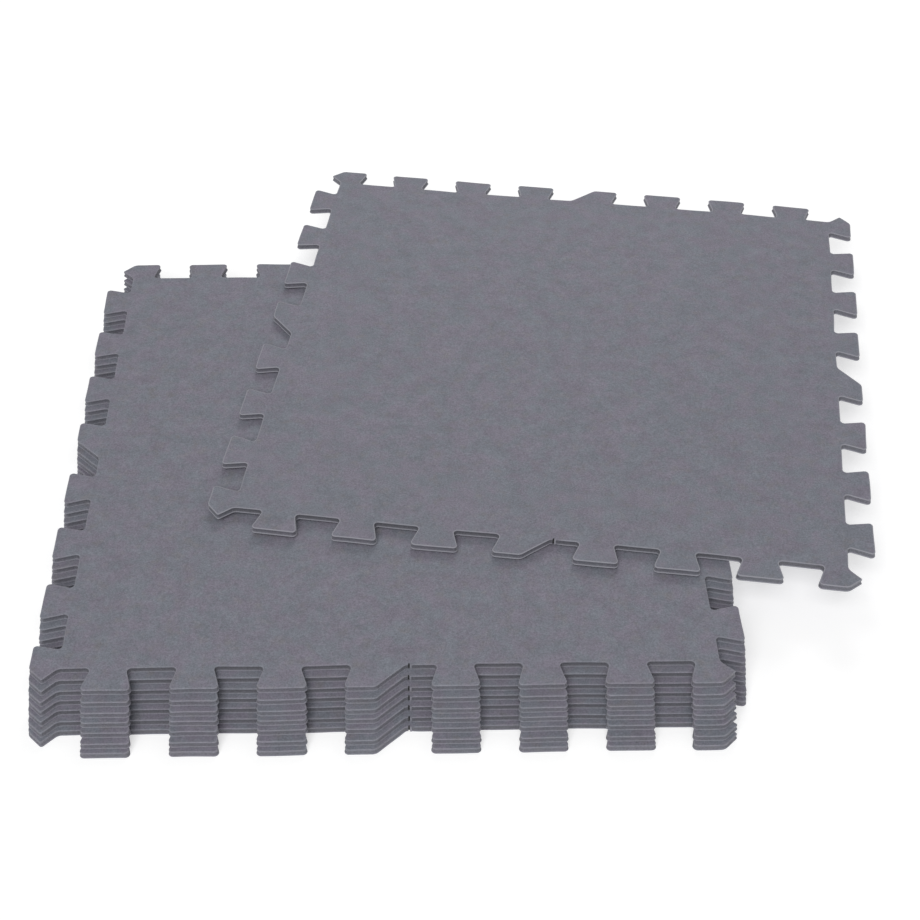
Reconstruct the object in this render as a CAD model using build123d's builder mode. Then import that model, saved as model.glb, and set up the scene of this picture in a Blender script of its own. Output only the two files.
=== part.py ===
from build123d import *
import os

# A pile of interlocking foam floor mats: a set of like mats stacked flat, each a little further
# forward than the one above it, and one loose mat laid askew on top of the pile.
# Millimetres, +Z up. The origin is the middle of the bottom mat's underside, -Y is the front.

# Driving dimensions
mat_side = 500.0  # nominal side, corner tip to corner tip
mat_thickness = 5.0
tabs_per_side = 8
tab_depth = 21.0  # from the bottom of a slot to the end of a tab
tab_head_width = 36.8
tab_corner_radius = 3.0
slant_corner_radius = 7.0  # where a slanted cut turns into a straight one
corner_tip_radius = 1.5

# How far each mat of the pile lies behind the one below it, from the bottom up
steps_back = [4.5, 6.0, 5.0, 4.5, 6.0, 7.0]

loose_mat_turn = -8.7  # degrees about +Z
loose_mat_right = 149.0  # from the middle of the pile's top mat
loose_mat_back = 120.0

# Worked-out dimensions
half_side = mat_side / 2
pitch = mat_side / tabs_per_side
tab_root_width = pitch - tab_head_width  # so that a slot is the same shape as a tab
slot_line = half_side - tab_depth / 2
head_line = half_side + tab_depth / 2
slant_run = tab_depth / 2  # the slanted cuts run at 45 degrees
first_tab = pitch * 3 / 4 - half_side  # tabs stand at three quarters of each pitch
middle_tab = tabs_per_side // 2 - 1
corner_tab = tabs_per_side - 1


def side_points():
    """Corners of the cut along the front side, from its left corner tip to the last tab.

    Each tab is a dovetail. The middle tab and the corner tab keep only their first flank and end in
    a slant, so the cut is the same when it is turned half round about the middle of the side.
    """
    points = [(-half_side, -half_side), (slant_run - half_side, -slot_line)]
    for tab in range(tabs_per_side):
        centre = first_tab + tab * pitch
        points.append((centre - tab_root_width / 2, -slot_line))
        points.append((centre - tab_head_width / 2, -head_line))
        if tab == middle_tab:
            points.append((-slant_run, -head_line))
            points.append((slant_run, -slot_line))
        elif tab == corner_tab:
            points.append((half_side - slant_run, -head_line))
        else:
            points.append((centre + tab_head_width / 2, -head_line))
            points.append((centre + tab_root_width / 2, -slot_line))
    return points


def is_tip(vertex):
    """True at the four corner tips, where two mats' slants would meet."""
    return abs(abs(vertex.X) - half_side) < 1e-3 and abs(abs(vertex.Y) - half_side) < 1e-3


def is_slant_end(vertex):
    """True where a slanted cut meets a slot line or a head line, mid-side and beside each tip."""
    near = min(abs(vertex.X), abs(vertex.Y))
    return abs(near - slant_run) < 1e-3 or abs(near - (half_side - slant_run)) < 1e-3


# Outline: one side's cut, repeated four times about the middle, then rounded where the knife turns
with BuildSketch() as outline:
    with BuildLine():
        corners = []
        for quarter in range(4):
            for x, y in side_points():
                corners.append(Vector(x, y).rotate(Axis.Z, 90 * quarter))
        Polyline(*corners, close=True)
    make_face()
    tips = outline.vertices().filter_by(is_tip)
    slant_ends = outline.vertices().filter_by(is_slant_end)
    dovetails = outline.vertices().filter_by(lambda v: not is_tip(v) and not is_slant_end(v))
    fillet(tips, radius=corner_tip_radius)
    fillet(slant_ends, radius=slant_corner_radius)
    fillet(dovetails, radius=tab_corner_radius)

os.makedirs("parts", exist_ok=True)


def make_mat(name, plane):
    """One die-cut foam mat, lying with its underside on the plane."""
    with BuildPart() as mat:
        with BuildSketch(plane):
            add(outline.sketch)
        extrude(amount=mat_thickness)
    mat.part.label = name
    export_step(mat.part, "parts/" + name + ".step")
    print(name, "size", mat.part.bounding_box().size, "volume", round(mat.part.volume))


# The pile, from the bottom mat up
mats_in_pile = len(steps_back) + 1
for layer in range(mats_in_pile):
    pile_back = sum(steps_back[:layer])
    pile_height = layer * mat_thickness
    make_mat("pile_mat_" + str(layer + 1), Plane((0, pile_back, pile_height)))

# The loose mat, laid flat on the top mat of the pile
loose_middle = (loose_mat_right, sum(steps_back) + loose_mat_back, mats_in_pile * mat_thickness)
make_mat("loose_mat", Plane(loose_middle).rotated((0, 0, loose_mat_turn)))
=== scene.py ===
import math

import bpy
import numpy as np
from mathutils import Matrix, Vector
from mathutils.geometry import delaunay_2d_cdt


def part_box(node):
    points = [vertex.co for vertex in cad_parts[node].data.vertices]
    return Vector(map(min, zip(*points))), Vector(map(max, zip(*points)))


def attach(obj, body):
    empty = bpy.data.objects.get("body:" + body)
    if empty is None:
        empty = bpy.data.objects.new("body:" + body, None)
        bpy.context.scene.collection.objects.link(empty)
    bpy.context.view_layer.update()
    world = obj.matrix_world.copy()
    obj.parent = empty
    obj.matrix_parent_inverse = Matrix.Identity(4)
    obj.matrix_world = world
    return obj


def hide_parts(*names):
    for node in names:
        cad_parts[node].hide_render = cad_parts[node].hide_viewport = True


# A pile of interlocking foam floor mats with one loose mat laid askew on top. Metres, +Z up, the
# origin is the middle of the bottom mat's underside and the front of the pile faces -Y.
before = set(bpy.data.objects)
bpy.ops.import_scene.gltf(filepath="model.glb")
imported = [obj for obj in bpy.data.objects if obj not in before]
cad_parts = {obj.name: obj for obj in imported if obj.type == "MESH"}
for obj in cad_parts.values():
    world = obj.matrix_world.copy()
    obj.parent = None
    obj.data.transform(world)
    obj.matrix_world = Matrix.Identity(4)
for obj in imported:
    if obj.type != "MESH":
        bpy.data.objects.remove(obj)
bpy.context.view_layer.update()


# ------------------------------------------------------------------ camera
# A portrait lens on a stand in front of the pile, a little to its left, looking down on it.
look_at = Vector((0.056, 0.015, 0.035))
camera_azimuth = math.radians(-2.0)
camera_elevation = math.radians(41.7)
camera_distance = 1.428
camera_roll = math.radians(0.76)

towards_camera = Vector(
    (
        math.sin(camera_azimuth) * math.cos(camera_elevation),
        -math.cos(camera_azimuth) * math.cos(camera_elevation),
        math.sin(camera_elevation),
    )
)
camera_data = bpy.data.cameras.new("camera")
camera_data.sensor_width = 36.0
camera_data.lens = 68.2
camera = bpy.data.objects.new("camera", camera_data)
bpy.context.scene.collection.objects.link(camera)
upright = towards_camera.to_track_quat("Z", "Y").to_matrix()
turned = upright @ Matrix.Rotation(camera_roll, 3, "Z")
camera_place = look_at + towards_camera * camera_distance
camera.matrix_world = Matrix.Translation(camera_place) @ turned.to_4x4()
bpy.context.scene.camera = camera


# ------------------------------------------------------------------ floor and light
# A white table lit from within, in a white room, so that the shadows on it stay pale. A broad soft
# light stands far off in front; a smaller one behind throws short soft shadows forwards.
floor_half = 6.0
floor_white = 0.70
floor_glow = 0.50
surround_light = 0.28
surround_seen = 1.0
floor_mesh = bpy.data.meshes.new("studio_floor")
floor_mesh.from_pydata(
    [
        (-floor_half, -floor_half, 0.0),
        (floor_half, -floor_half, 0.0),
        (floor_half, floor_half, 0.0),
        (-floor_half, floor_half, 0.0),
    ],
    [],
    [(0, 1, 2, 3)],
)
studio_floor = bpy.data.objects.new("studio_floor", floor_mesh)
bpy.context.scene.collection.objects.link(studio_floor)
floor_paint = bpy.data.materials.new("white_floor")
floor_paint.use_nodes = True
floor_shader = floor_paint.node_tree.nodes["Principled BSDF"]
floor_shader.inputs["Base Color"].default_value = (floor_white, floor_white, floor_white, 1.0)
floor_shader.inputs["Roughness"].default_value = 0.9
floor_shader.inputs["Specular IOR Level"].default_value = 0.1
floor_shader.inputs["Emission Color"].default_value = (1.0, 1.0, 1.0, 1.0)
floor_shader.inputs["Emission Strength"].default_value = floor_glow
floor_mesh.materials.append(floor_paint)

surround = bpy.data.worlds.new("white_surround")
surround.use_nodes = True
backdrop = surround.node_tree.nodes["Background"]
backdrop.inputs["Color"].default_value = (1.0, 1.0, 1.0, 1.0)
# The room is seen white beyond the table's edge, but lights the mats with less than that
light_path = surround.node_tree.nodes.new("ShaderNodeLightPath")
strength = surround.node_tree.nodes.new("ShaderNodeMapRange")
strength.inputs["To Min"].default_value = surround_light
strength.inputs["To Max"].default_value = surround_seen
surround.node_tree.links.new(light_path.outputs["Is Camera Ray"], strength.inputs["Value"])
surround.node_tree.links.new(strength.outputs["Result"], backdrop.inputs["Strength"])
bpy.context.scene.world = surround
bpy.context.scene.view_settings.view_transform = "Standard"


def soft_light(name, place, aim, size, power):
    """A square area light at a place, turned to shine at a point."""
    data = bpy.data.lights.new(name, "AREA")
    data.size = size
    data.energy = power
    light = bpy.data.objects.new(name, data)
    bpy.context.scene.collection.objects.link(light)
    away = Vector(place) - Vector(aim)
    facing = away.to_track_quat("Z", "Y").to_matrix().to_4x4()
    light.matrix_world = Matrix.Translation(Vector(place)) @ facing


soft_light("front_soft_light", (-1.1, -4.4, 4.7), (0.05, 0.05, 0.0), size=4.2, power=260.0)
soft_light("rear_soft_light", (0.25, 1.75, 1.35), (0.10, 0.15, 0.0), size=0.9, power=11.0)


# ------------------------------------------------------------------ the knife's outline
# Every mat is stamped from a foam sheet by one steel-rule knife. Each side has dovetail tabs at an
# even pitch, cut so that any side locks to any other; the knife is bent to small radii.
pile_low, pile_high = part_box("pile_mat_1")
tabs_per_side = 8
tab_depth = 0.021
half_side = (pile_high.x - pile_low.x - tab_depth) / 2
mat_thickness = pile_high.z - pile_low.z
pitch = 2 * half_side / tabs_per_side
head_width = 0.0368
root_width = pitch - head_width
slot_line = half_side - tab_depth / 2
head_line = half_side + tab_depth / 2
slant_run = tab_depth / 2
dovetail_radius = 0.003
slant_radius = 0.007
tip_radius = 0.0015
# The two ends of the steel rule meet at the foot of the front side's slant. They leave a nick in
# the foam there, and a thin ridge beside it.
nick_slant_radius = 0.0035
nick_gap = 0.0002  # straight cut between the slant's arc and the nick
nick_mouth = 0.0015
nick_inner = 0.0008
nick_depth = 0.0013
ridge_width = 0.0010
ridge_height = 0.00035
nick_corner_radius = 0.00006


def knife_corners():
    """Corners of the whole cut, the radius at each, and the place of the nick's first corner.

    Counter-clockwise from the front left tip. Tab k of the front side stands at (k + 3/4) pitches
    from that tip. The middle tab ends in a 45-degree slant through the middle of the side, the last
    one in a slant to the corner tip. The other sides are the same points turned by quarters.
    """
    middle, last = tabs_per_side // 2 - 1, tabs_per_side - 1
    centre = (np.arange(tabs_per_side) + 0.75) * pitch - half_side
    across = np.array([-root_width, -head_width, head_width, root_width]) / 2
    down = -np.array([slot_line, head_line, head_line, slot_line])
    tabs = np.stack(np.broadcast_arrays(centre[:, None] + across, down), axis=-1)
    tabs[middle, 2:] = [(-slant_run, -head_line), (slant_run, -slot_line)]
    tabs[last, 2] = (half_side - slant_run, -head_line)
    radii = np.full((tabs_per_side, 4), dovetail_radius)
    radii[middle, 2:] = slant_radius
    radii[last, 2] = slant_radius
    tip = [(-half_side, -half_side), (slant_run - half_side, -slot_line)]
    side = np.concatenate([tip, tabs.reshape(-1, 2)[:-1]])
    side_radii = np.concatenate([[tip_radius, slant_radius], radii.reshape(-1)[:-1]])
    turns = np.array([[(1, 0), (0, 1)], [(0, -1), (1, 0)], [(-1, 0), (0, -1)], [(0, 1), (-1, 0)]])
    corners = np.einsum("qij,nj->qni", turns, side).reshape(-1, 2)
    corner_radii = np.tile(side_radii, 4)
    slant_end = 2 + 4 * middle + 3
    left = slant_run + nick_slant_radius * math.tan(math.pi / 8) + nick_gap
    taper = (nick_mouth - nick_inner) / 2
    nick_and_ridge = [
        (left, -slot_line),
        (left + taper, nick_depth - slot_line),
        (left + taper + nick_inner, nick_depth - slot_line),
        (left + nick_mouth, -slot_line - ridge_height),
        (left + nick_mouth + ridge_width, -slot_line - ridge_height),
        (left + nick_mouth + ridge_width + ridge_height, -slot_line),
    ]
    corner_radii[slant_end] = nick_slant_radius
    corners = np.insert(corners, slant_end + 1, nick_and_ridge, axis=0)
    corner_radii = np.insert(corner_radii, slant_end + 1, [nick_corner_radius] * len(nick_and_ridge))
    return corners, corner_radii, slant_end + 1


def rounded_path(corners, radii, arc_steps, run_steps):
    """A closed path with every corner turned into an arc, as one row of points for each corner.

    The arc at a corner starts radius / tan(half the inner angle) before it and is centred on the
    inner angle's bisector, radius / sin(half the inner angle) away. Each straight run between two
    arcs is divided evenly, and belongs to the corner before it.
    """
    back = np.roll(corners, 1, axis=0) - corners
    ahead = np.roll(corners, -1, axis=0) - corners
    back = back / np.linalg.norm(back, axis=1, keepdims=True)
    ahead = ahead / np.linalg.norm(ahead, axis=1, keepdims=True)
    half_angle = np.arccos(np.clip((back * ahead).sum(1), -1, 1)) / 2
    bisector = back + ahead
    bisector = bisector / np.linalg.norm(bisector, axis=1, keepdims=True)
    centre = corners + bisector * (radii / np.sin(half_angle))[:, None]
    start = corners + back * (radii / np.tan(half_angle))[:, None]
    end = corners + ahead * (radii / np.tan(half_angle))[:, None]
    left_turn = np.sign(back[:, 1] * ahead[:, 0] - back[:, 0] * ahead[:, 1])
    sweep = left_turn * (math.pi - 2 * half_angle)
    first = np.arctan2(start[:, 1] - centre[:, 1], start[:, 0] - centre[:, 0])
    angle = first[:, None] + sweep[:, None] * np.linspace(0, 1, arc_steps + 1)
    arc = centre[:, None] + radii[:, None, None] * np.stack([np.cos(angle), np.sin(angle)], axis=-1)
    share = (np.arange(1, run_steps) / run_steps)[None, :, None]
    run = end[:, None] * (1 - share) + np.roll(start, -1, axis=0)[:, None] * share
    return np.concatenate([arc, run], axis=1)


def slow_waves(flat, draw, count, shortest, longest):
    """A smooth random height over the plane: a sum of sine waves of random direction and length.

    Height = sum of weight * sin(2 pi * distance along the wave's direction / length + phase),
    scaled to a standard deviation near one.
    """
    heading = draw.uniform(0, 2 * math.pi, count)
    number = 2 * math.pi / draw.uniform(shortest, longest, count)
    phase = draw.uniform(0, 2 * math.pi, count)
    weight = draw.uniform(0.5, 1.0, count)
    way = np.stack([np.cos(heading), np.sin(heading)]) * number
    return (weight * np.sin(flat @ way + phase)).sum(-1) / math.sqrt((weight**2).sum() / 2)


arc_steps, run_steps = 6, 6
corners, corner_radii, nick_corner = knife_corners()
knife_rows = rounded_path(corners, corner_radii, arc_steps, run_steps)
# The hand-bent rule strays from the drawing by a few tenths of a millimetre
knife_stray = 0.00022
knife_draw = np.random.default_rng(5)
drawn_path = knife_rows.reshape(-1, 2)
stray = [slow_waves(drawn_path, knife_draw, 6, shortest=0.03, longest=0.15) for axis in range(2)]
knife_path = drawn_path + knife_stray * np.stack(stray, axis=1)
along = np.roll(knife_path, -1, axis=0) - np.roll(knife_path, 1, axis=0)
outwards = np.stack([along[:, 1], -along[:, 0]], axis=1)
outwards = outwards / np.linalg.norm(outwards, axis=1, keepdims=True)
# The nick is the run after its first corner and the two corners at its foot. The ridge is the two
# corners after those.
in_nick = np.zeros(knife_rows.shape[:2])
in_nick[nick_corner, arc_steps + 1 :] = 1.0
in_nick[nick_corner + 1 : nick_corner + 3] = 1.0
in_nick = in_nick.reshape(-1)
on_ridge = np.zeros(knife_rows.shape[:2])
on_ridge[nick_corner + 3 : nick_corner + 5] = 1.0
on_ridge = on_ridge.reshape(-1)


# ------------------------------------------------------------------ the cut edge and the two faces
# The knife squeezes the foam as it goes through: the top edge is rounded over, the wall springs
# back hollow, and the bottom skin is left as a thin lip. Both edges are painted paler: a painted
# highlight where light would catch them.

# A row of the profile: millimetres in from the knife, height as a share of the thickness, and the
# shares of the surface that take the darker core colour (partly painted shade) and the pale painted
# highlight
edge_profile = np.array(
    [
        (1.10, 1.000, 0.0, 0.00),  # the upper face
        (0.70, 1.000, 0.0, 0.65),
        (0.36, 0.985, 0.0, 1.00),  # the rounded top edge
        (0.12, 0.950, 0.0, 0.70),
        (0.02, 0.895, 0.3, 0.10),
        (0.06, 0.840, 1.0, 0.00),  # the hollow wall
        (0.24, 0.740, 1.0, 0.00),
        (0.38, 0.610, 1.0, 0.00),
        (0.42, 0.480, 1.0, 0.00),
        (0.36, 0.350, 1.0, 0.00),
        (0.20, 0.230, 1.0, 0.00),
        (-0.10, 0.145, 0.4, 0.50),  # the lip
        (-0.36, 0.100, 0.0, 1.00),
        (-0.42, 0.055, 0.0, 1.00),
        (-0.30, 0.015, 0.0, 0.60),
        (0.20, 0.000, 0.0, 0.00),  # the underside
    ]
)
edge_inset = 0.001 * edge_profile[:, 0]
edge_height, edge_core, edge_painted_highlight = edge_profile[:, 1:].T
face_spacing = 0.012
clear_of_ring = 0.35 * face_spacing
# In the foot of a slot, between the tabs, the painted highlight is weaker and the core colour darker
# than on the tabs: painted shade where the tabs shelter it. Tab share grows from 0 in the foot to 1
# on the tab.
slot_painted_highlight = 0.70
tab_core = 0.67
tab_fade = 0.003
tab_share = np.clip((np.abs(knife_path).max(1) - slot_line) / tab_fade, 0.0, 1.0)
# The nick's own edges stay sharp: near it the profile shrinks to a fraction of its insets
nick_reach = 0.002
nick_fade = 0.003
least_inset = 0.04
nick_middle = corners[nick_corner : nick_corner + 6].mean(0)
nick_distance = np.linalg.norm(knife_path - nick_middle, axis=1)
inset_share = np.clip((nick_distance - nick_reach) / nick_fade, least_inset, 1.0)
# In the nick the colour goes to near-black: painted shade inside the narrow slit
nick_shade_mark = 2.0  # core_and_painted_shade is 1 on bare core, and this in the nick
# No two mats are quite alike: how far an outline shifts and how far a face rises and falls
outline_shift = 0.00012
face_lift = 0.00003
wave_short, wave_long = 0.06, 0.30


def inside(points, ring):
    """True where a level ray from the point crosses the closed ring an odd number of times."""
    x, y = points[:, :1], points[:, 1:]
    ax, ay = ring[:, 0], ring[:, 1]
    bx, by = np.roll(ax, -1), np.roll(ay, -1)
    spans = (ay > y) != (by > y)
    rise = np.where(by == ay, 1e-12, by - ay)
    crosses = spans & (x < ax + (bx - ax) * (y - ay) / rise)
    return crosses.sum(1) % 2 == 1


def face_fill(ring):
    """Net points and triangles that fill a flat closed ring.

    The points are a square net kept clear of the ring; the triangles are Delaunay's, with the
    ring's own sides among their sides. Ring points come first and keep their order.
    """
    ticks = np.arange(-head_line, head_line, face_spacing)
    net = np.stack(np.meshgrid(ticks, ticks), axis=-1).reshape(-1, 2)
    net = net[inside(net, ring)]
    gap = np.linalg.norm(net[:, None] - ring[None], axis=-1).min(1)
    net = net[gap > clear_of_ring]
    points = np.concatenate([ring, net])
    count = len(ring)
    sides = np.stack([np.arange(count), np.roll(np.arange(count), -1)], axis=1)
    filled = delaunay_2d_cdt([Vector(p) for p in points.tolist()], sides.tolist(), [], 1, 1e-9)
    triangles = np.array(filled[2])
    if len(filled[0]) != len(points):
        raise ValueError("the mat's outline crosses itself")
    corner = points[triangles]
    first, second = corner[:, 1] - corner[:, 0], corner[:, 2] - corner[:, 0]
    clockwise = first[:, 0] * second[:, 1] - first[:, 1] * second[:, 0] < 0
    triangles[clockwise] = triangles[clockwise][:, ::-1]
    return net, triangles


face_net, face_triangles = face_fill(knife_path - outwards * (edge_inset[0] * inset_share)[:, None])


def mat_mesh(name, turn, middle, seed, highlight_strength, drop=None):
    """One mat: the edge profile carried along the knife's path, closed by a face above and below.

    Wall point = path point - outward * inset(row), height(row) * thickness above the underside.
    Slow waves, different for each mat, shift the outline and lift the upper face a little, as soft
    foam does. The whole is then turned and moved to its place, and lowered by drop(x, y). The
    highlight strength, from 0 to 1, is how strongly the mat's edges are painted pale: a painted
    highlight.
    """
    rows, count = len(edge_inset), len(knife_path)
    draw = np.random.default_rng(seed)
    wall = knife_path[None] - outwards[None] * (edge_inset[:, None] * inset_share[None])[..., None]
    flat = np.concatenate([wall.reshape(-1, 2), face_net, face_net])
    height = np.repeat(edge_height, count)
    height = np.concatenate([height, np.ones(len(face_net)), np.zeros(len(face_net))])
    below_face = edge_height[:, None] < 1
    # Bare core takes the darker core colour, which is partly painted shade: fully in the foot of a slot,
    # less on the tabs
    core_and_shade = edge_core[:, None] * (1 - on_ridge) * (1 - (1 - tab_core) * tab_share)
    # The nick is marked for its near-black painted shade
    core_and_shade = core_and_shade + in_nick * below_face * nick_shade_mark
    # The edges, and the ridge beside the nick, are painted pale: a painted highlight, weaker in the foot
    # of a slot and none in the nick
    painted_highlight_share = np.maximum(edge_painted_highlight[:, None] * (slot_painted_highlight + (1 - slot_painted_highlight) * tab_share), on_ridge)
    painted_highlight_share = painted_highlight_share * (1 - in_nick) * highlight_strength
    shift = np.stack([slow_waves(flat, draw, 5, wave_short, wave_long) for axis in range(2)], axis=1)
    lift = slow_waves(flat, draw, 5, wave_short, wave_long)
    flat = flat + outline_shift * shift
    z = height * (mat_thickness + face_lift * lift)
    c, s = math.cos(turn), math.sin(turn)
    x = middle[0] + c * flat[:, 0] - s * flat[:, 1]
    y = middle[1] + s * flat[:, 0] + c * flat[:, 1]
    z = middle[2] + z - (drop(x, y) if drop else 0.0)
    ring = np.arange(count)
    after = np.roll(ring, -1)
    start = (np.arange(rows - 1) * count)[:, None]
    quads = [start + ring, start + count + ring, start + count + after, start + after]
    quads = np.stack(quads, axis=-1).reshape(-1, 4)
    on_ring = face_triangles < count
    above = np.where(on_ring, face_triangles, face_triangles - count + rows * count)
    below = np.where(on_ring, face_triangles + (rows - 1) * count, above + len(face_net))[:, ::-1]
    points = np.stack([x, y, z], axis=1)
    mesh = bpy.data.meshes.new(name)
    mesh.from_pydata(points.tolist(), [], quads.tolist() + above.tolist() + below.tolist())
    rounded = np.zeros(len(mesh.polygons), bool)
    rounded[: len(quads)] = True
    mesh.polygons.foreach_set("use_smooth", rounded)
    for label, values in (("core_and_painted_shade", core_and_shade), ("painted_highlight", painted_highlight_share)):
        layer = mesh.attributes.new(label, "FLOAT", "POINT")
        values = np.concatenate([values.reshape(-1), np.zeros(2 * len(face_net))])
        layer.data.foreach_set("value", values.astype(np.float32))
    mesh.update()
    return mesh


# ------------------------------------------------------------------ the foam
# Closed-cell foam, grey right through. The faces have a matt skin with a fine pebble and a faint
# cloudy tint; the cut core between the skins is darker, partly its own colour and partly painted
# shade on the walls, and shows its broken cells.
foam = bpy.data.materials.new("grey_foam")
foam.use_nodes = True
tree = foam.node_tree
shader = tree.nodes["Principled BSDF"]
shader.inputs["Roughness"].default_value = 0.72
shader.inputs["Specular IOR Level"].default_value = 0.35
shader.inputs["Sheen Weight"].default_value = 0.25
shader.inputs["Sheen Roughness"].default_value = 0.35
place = tree.nodes.new("ShaderNodeTexCoord")


def noise(scale, detail, roughness):
    """A noise pattern on the mat's own coordinates; scale is in features per metre."""
    node = tree.nodes.new("ShaderNodeTexNoise")
    node.inputs["Scale"].default_value = scale
    node.inputs["Detail"].default_value = detail
    node.inputs["Roughness"].default_value = roughness
    tree.links.new(place.outputs["Object"], node.inputs["Vector"])
    return node.outputs["Fac"]


def attribute(name):
    """A value stored on the mat's points."""
    node = tree.nodes.new("ShaderNodeAttribute")
    node.attribute_name = name
    return node.outputs["Fac"]


def remap(value, low, high, to_low, to_high):
    """A value stretched from one range to another, and held at its ends."""
    node = tree.nodes.new("ShaderNodeMapRange")
    for socket, number in zip(node.inputs[1:5], (low, high, to_low, to_high)):
        socket.default_value = number
    tree.links.new(value, node.inputs[0])
    return node.outputs[0]


def wired(node, sockets, values):
    """Give each socket its value, by a link where the value is another node's output."""
    for socket, value in zip(sockets, values):
        if isinstance(value, bpy.types.NodeSocket):
            tree.links.new(value, socket)
        else:
            socket.default_value = value
    return node


def mixed(share, first, second, blend="MIX"):
    """Two colours mixed by a share."""
    node = tree.nodes.new("ShaderNodeMix")
    node.data_type = "RGBA"
    node.blend_type = blend
    return wired(node, (node.inputs[0], node.inputs[6], node.inputs[7]), (share, first, second)).outputs[2]


def arithmetic(operation, first, second):
    """A sum or product of two values."""
    node = tree.nodes.new("ShaderNodeMath")
    node.operation = operation
    return wired(node, node.inputs, (first, second)).outputs[0]


blue_grey = (0.205, 0.217, 0.254, 1.0)
purple_grey = (0.222, 0.208, 0.256, 1.0)
warm_grey = (0.212, 0.206, 0.226, 1.0)
# The core's own grey, darkened further as painted shade on the cut walls
core_grey_and_shade = (0.126, 0.126, 0.145, 1.0)
# The pale painted highlight on the cut edges and the ridge
painted_highlight_grey = (0.35, 0.35, 0.39, 1.0)
# Near-black painted shade inside the nick
nick_shade_grey = (0.035, 0.035, 0.04, 1.0)
# Clouds of tint 10 to 20 mm across, and a lighter and darker grain over them
purple_clouds = remap(noise(60, detail=3, roughness=0.6), 0.40, 0.60, 0.0, 1.0)
warm_clouds = remap(noise(95, detail=3, roughness=0.6), 0.54, 0.72, 0.0, 0.8)
fine_grain = remap(noise(760, detail=2, roughness=0.85), 0.2, 0.8, 0.67, 1.33)
coarse_grain = remap(noise(55, detail=4, roughness=0.95), 0.2, 0.8, 0.80, 1.20)
tint = mixed(purple_clouds, blue_grey, purple_grey)
tint = mixed(warm_clouds, tint, warm_grey)
skin = mixed(1.0, tint, arithmetic("MULTIPLY", fine_grain, coarse_grain), "MULTIPLY")
core_and_shade = mixed(1.0, core_grey_and_shade, fine_grain, "MULTIPLY")
core_and_painted_shade = attribute("core_and_painted_shade")
# Walls take the darker core colour, partly painted shade
colour = mixed(remap(core_and_painted_shade, 0.0, 1.0, 0.0, 1.0), skin, core_and_shade)
# Edges take the pale painted highlight
colour = mixed(attribute("painted_highlight"), colour, painted_highlight_grey)
# The nick takes its near-black painted shade
colour = mixed(remap(core_and_painted_shade, 1.0, nick_shade_mark, 0.0, 1.0), colour, nick_shade_grey)
tree.links.new(colour, shader.inputs["Base Color"])

# A pebble of shallow dimples under 2 mm across, broken by finer noise
pebble = tree.nodes.new("ShaderNodeTexVoronoi")
pebble.feature = "SMOOTH_F1"
pebble.inputs["Scale"].default_value = 620
tree.links.new(place.outputs["Object"], pebble.inputs["Vector"])
dimples = arithmetic("MULTIPLY", pebble.outputs["Distance"], 0.5)
relief = arithmetic("ADD", dimples, noise(800, detail=3, roughness=0.6))
bump = tree.nodes.new("ShaderNodeBump")
bump.inputs["Strength"].default_value = 0.5
bump.inputs["Distance"].default_value = 0.0003
tree.links.new(relief, bump.inputs["Height"])
tree.links.new(bump.outputs["Normal"], shader.inputs["Normal"])


def lay_mat(name, body, turn, seed, highlight_strength, drop=None):
    """A finished mat in its place, riding on its body and standing for its plain solid."""
    low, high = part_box(body)
    middle = ((low.x + high.x) / 2, (low.y + high.y) / 2, low.z)
    mesh = mat_mesh(name, turn, middle, seed, highlight_strength, drop)
    mesh.materials.append(foam)
    mat = bpy.data.objects.new(name, mesh)
    bpy.context.scene.collection.objects.link(mat)
    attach(mat, body)
    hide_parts(body)
    return mat


# ------------------------------------------------------------------ the pile
# The mats of the pile lie flat on each other, all the same way round. Each one lies a few
# millimetres further back than the one below, which leaves a step in front.
pile_nodes = sorted(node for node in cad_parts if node.startswith("pile_mat"))
# How strongly the pile's edges carry the painted highlight
pile_highlight_strength = 0.35
for number, node in enumerate(pile_nodes):
    lay_mat("foam_" + node, node, 0.0, seed=number, highlight_strength=pile_highlight_strength)


# ------------------------------------------------------------------ the loose mat
# The same mat again, laid on top of the pile, turned a little and overhanging at the right and back.
# Foam this thin hangs down a little where nothing holds it up, and its free edges curl off the pile.
loose_turn = math.radians(-8.7)
# The loose mat's edges carry the full painted highlight
loose_highlight_strength = 1.0
loose_sag = 0.003
loose_curl = 0.0022
curl_start = 0.09
top_low, top_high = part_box(pile_nodes[-1])
loose_low, loose_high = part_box("loose_mat")
loose_middle = (loose_low + loose_high) / 2


def loose_drop(x, y):
    """How far the mat hangs down past the pile, less how far its front and left edges curl up.

    Sag = loose_sag * the sum of the squares of the distances past the pile's right and rear sides,
    each as a share of the furthest overhang, held at 1. Curl = loose_curl * the sum of the squares
    of the shares of the way from curl_start, in front and left of the mat's middle, to its edges.
    """
    right = np.clip((x - top_high.x) / (loose_high.x - top_high.x), 0, 1)
    behind = np.clip((y - top_high.y) / (loose_high.y - top_high.y), 0, 1)
    c, s = math.cos(loose_turn), math.sin(loose_turn)
    rightwards = c * (x - loose_middle.x) + s * (y - loose_middle.y)
    backwards = c * (y - loose_middle.y) - s * (x - loose_middle.x)
    front = np.clip((-backwards - curl_start) / (head_line - curl_start), 0, 1)
    left = np.clip((-rightwards - curl_start) / (head_line - curl_start), 0, 1)
    return loose_sag * np.minimum(right**2 + behind**2, 1.0) - loose_curl * (front**2 + left**2)


lay_mat("foam_loose_mat", "loose_mat", loose_turn, seed=20, highlight_strength=loose_highlight_strength, drop=loose_drop)
